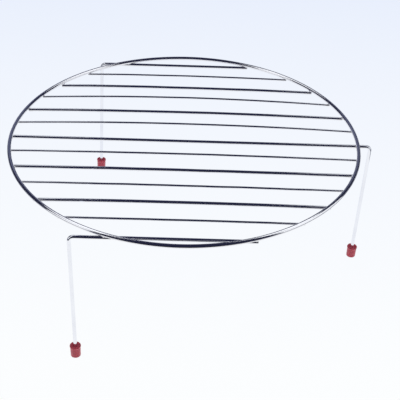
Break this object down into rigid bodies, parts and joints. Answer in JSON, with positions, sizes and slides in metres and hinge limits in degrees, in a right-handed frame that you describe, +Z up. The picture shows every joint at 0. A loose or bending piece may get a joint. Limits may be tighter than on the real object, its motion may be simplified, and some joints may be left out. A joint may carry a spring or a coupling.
{
  "type": "round wire cooling rack",
  "caption": "Round chromed wire rack for cooling or grilling: parallel cross wires under a hoop, on tall tripod wire legs with red silicone foot caps.",
  "frame": {"origin": "middle of the footprint's bounding box, in the plane the feet stand on", "axes": "+X to the side with the single leg, along the wires; +Y to the back; +Z up"},
  "size_m": [0.3052, 0.2932, 0.123],
  "materials": {
    "chromed_wire": "bright nickel-chrome plating on drawn steel wire, faint draw lines and fine handling scratches",
    "weld_metal": "plated weld metal, slightly duller and lumpier than the wire",
    "red_silicone": "moulded red silicone, satin with a soft gloss, faint parting line"
  },
  "bodies": {
    "rack": {"rim_hoop": "chromed_wire", "rim_butt_weld": "weld_metal", "leg_wire_back_left": "chromed_wire", "leg_wire_right": "chromed_wire", "leg_wire_front_left": "chromed_wire", "heavy_wire_03": "chromed_wire", "heavy_wire_05": "chromed_wire", "heavy_wire_09": "chromed_wire", "heavy_wire_11": "chromed_wire", "light_wire_02": "chromed_wire", "light_wire_04": "chromed_wire", "light_wire_06": "chromed_wire", "light_wire_08": "chromed_wire", "light_wire_10": "chromed_wire", "light_wire_12": "chromed_wire", "heavy_welds_left": "weld_metal", "heavy_welds_right": "weld_metal", "light_welds_left": "weld_metal", "light_welds_right": "weld_metal"},
    "cap_back_left": {"foot_cap_back_left": "red_silicone"},
    "cap_right": {"foot_cap_right": "red_silicone"},
    "cap_front_left": {"foot_cap_front_left": "red_silicone"}
  },
  "joints": [
    {"name": "pull_off_cap_back_left", "type": "slide", "parent": "rack", "child": "cap_back_left", "axis": [-0.035, -0.004, -0.9994], "range_m": [0, 0.012]},
    {"name": "pull_off_cap_right", "type": "slide", "parent": "rack", "child": "cap_right", "axis": [-0.018, 0.018, -0.9997], "range_m": [0, 0.012]},
    {"name": "pull_off_cap_front_left", "type": "slide", "parent": "rack", "child": "cap_front_left", "axis": [0.001, -0.008, -1], "range_m": [0, 0.012]}
  ]
}
